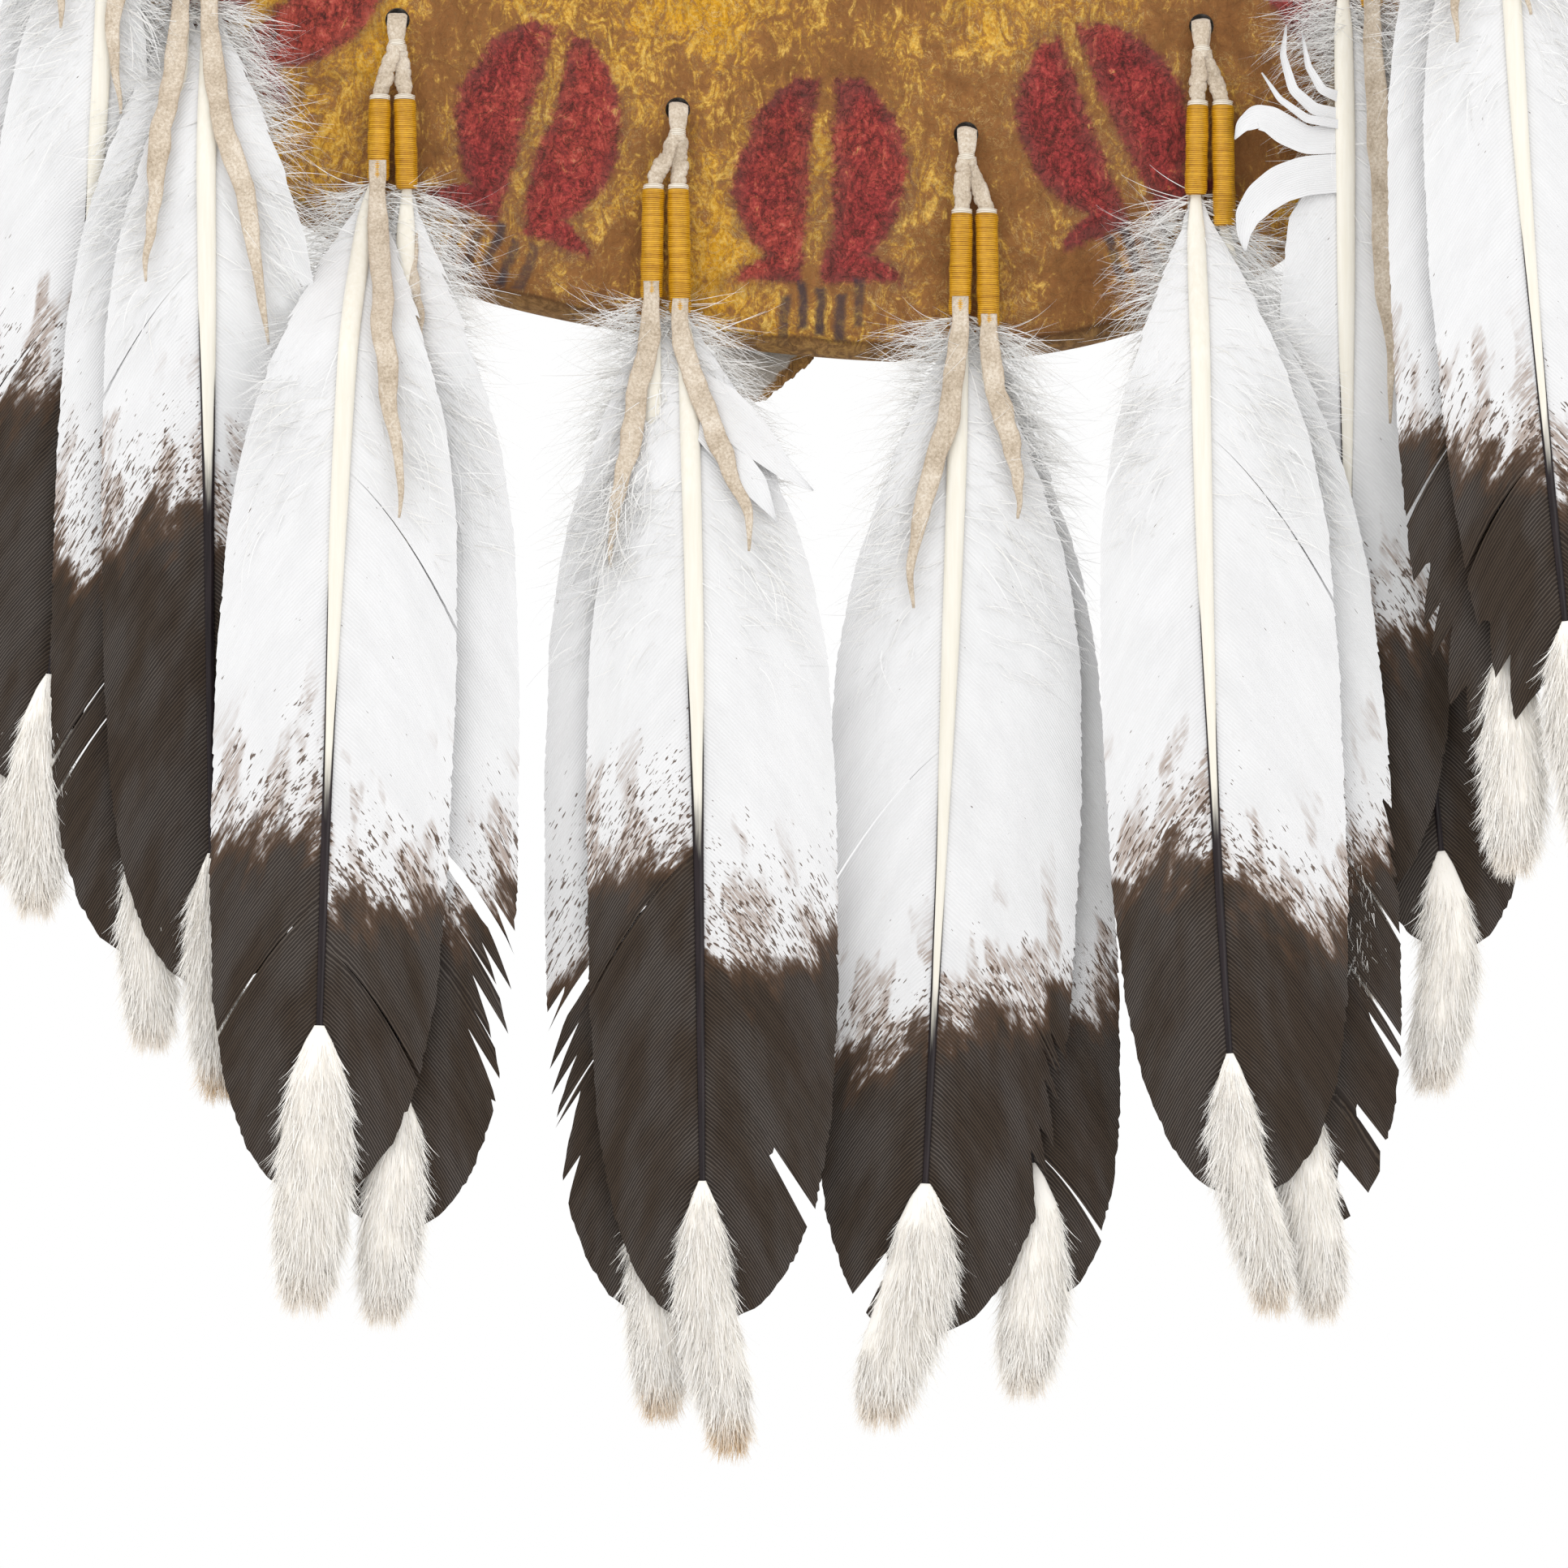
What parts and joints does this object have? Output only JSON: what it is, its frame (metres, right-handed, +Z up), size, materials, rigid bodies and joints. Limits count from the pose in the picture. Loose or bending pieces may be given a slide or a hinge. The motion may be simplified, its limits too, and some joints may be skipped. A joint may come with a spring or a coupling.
{
  "type": "feathered hide shield",
  "caption": "Round painted rawhide shield on a bent hoop, for a wall, with paired feathers hanging from suede thongs, bound with thread and ended in fur tips.",
  "frame": {"origin": "where a wall hook goes under the top of the turned-back edge of the hide, in the plane of the shield's back", "axes": "+Z up the shield, -Y out of its painted face, +X to the right as seen from the front"},
  "size_m": [0.5031, 0.0667, 0.7781],
  "materials": {
    "rawhide": "rough suede side out, ochre with brown mottling and red prints",
    "bent_wood": "peeled and unvarnished",
    "lace_leather": "dry rawhide lace",
    "suede": "napped",
    "ochre_thread": "waxed thread, glossy",
    "feather": "white with brown-black ends",
    "fur": "long soft hair"
  },
  "bodies": {
    "shield": {"hide_cover": "rawhide", "hoop": "bent_wood", "edge_lace": "lace_leather"},
    "drop_a": {"thong_a": "suede", "wrap_a_left": "ochre_thread", "feather_a_left": "feather", "fur_a_left": "fur", "wrap_a_right": "ochre_thread", "feather_a_right": "feather", "fur_a_right": "fur"},
    "drop_b": {"thong_b": "suede", "wrap_b_left": "ochre_thread", "feather_b_left": "feather", "fur_b_left": "fur", "wrap_b_right": "ochre_thread", "feather_b_right": "feather", "fur_b_right": "fur"},
    "drop_c": {"thong_c": "suede", "wrap_c_left": "ochre_thread", "feather_c_left": "feather", "fur_c_left": "fur", "wrap_c_right": "ochre_thread", "feather_c_right": "feather", "fur_c_right": "fur"},
    "drop_d": {"thong_d": "suede", "wrap_d_left": "ochre_thread", "feather_d_left": "feather", "fur_d_left": "fur", "wrap_d_right": "ochre_thread", "feather_d_right": "feather", "fur_d_right": "fur"},
    "drop_e": {"thong_e": "suede", "wrap_e_left": "ochre_thread", "feather_e_left": "feather", "fur_e_left": "fur", "wrap_e_right": "ochre_thread", "feather_e_right": "feather", "fur_e_right": "fur"},
    "drop_f": {"thong_f": "suede", "wrap_f_left": "ochre_thread", "feather_f_left": "feather", "fur_f_left": "fur", "wrap_f_right": "ochre_thread", "feather_f_right": "feather", "fur_f_right": "fur"},
    "drop_g": {"thong_g": "suede", "wrap_g_left": "ochre_thread", "feather_g_left": "feather", "fur_g_left": "fur", "wrap_g_right": "ochre_thread", "feather_g_right": "feather", "fur_g_right": "fur"},
    "drop_h": {"thong_h": "suede", "wrap_h_left": "ochre_thread", "feather_h_left": "feather", "fur_h_left": "fur", "wrap_h_right": "ochre_thread", "feather_h_right": "feather", "fur_h_right": "fur"}
  },
  "joints": [
    {"name": "drop_a_swing", "type": "hinge", "parent": "shield", "child": "drop_a", "pos_m": [-0.1838, -0.0226, -0.265], "axis": [0, -1, 0], "range_deg": [-8, 3]},
    {"name": "drop_b_swing", "type": "hinge", "parent": "shield", "child": "drop_b", "pos_m": [-0.1594, -0.0226, -0.313], "axis": [0, -1, 0], "range_deg": [-5, 4]},
    {"name": "drop_c_swing", "type": "hinge", "parent": "shield", "child": "drop_c", "pos_m": [-0.1082, -0.0226, -0.3647], "axis": [0, -1, 0], "range_deg": [-8, 8]},
    {"name": "drop_d_swing", "type": "hinge", "parent": "shield", "child": "drop_d", "pos_m": [-0.0357, -0.0226, -0.3878], "axis": [0, -1, 0], "range_deg": [-8, 8]},
    {"name": "drop_e_swing", "type": "hinge", "parent": "shield", "child": "drop_e", "pos_m": [0.0389, -0.0226, -0.3941], "axis": [0, -1, 0], "range_deg": [-8, 8]},
    {"name": "drop_f_swing", "type": "hinge", "parent": "shield", "child": "drop_f", "pos_m": [0.0998, -0.0226, -0.3662], "axis": [0, -1, 0], "range_deg": [-8, 7]},
    {"name": "drop_g_swing", "type": "hinge", "parent": "shield", "child": "drop_g", "pos_m": [0.1403, -0.0226, -0.3126], "axis": [0, -1, 0], "range_deg": [-4, 8]},
    {"name": "drop_h_swing", "type": "hinge", "parent": "shield", "child": "drop_h", "pos_m": [0.1721, -0.0226, -0.2589], "axis": [0, -1, 0], "range_deg": [-8, 8]}
  ]
}
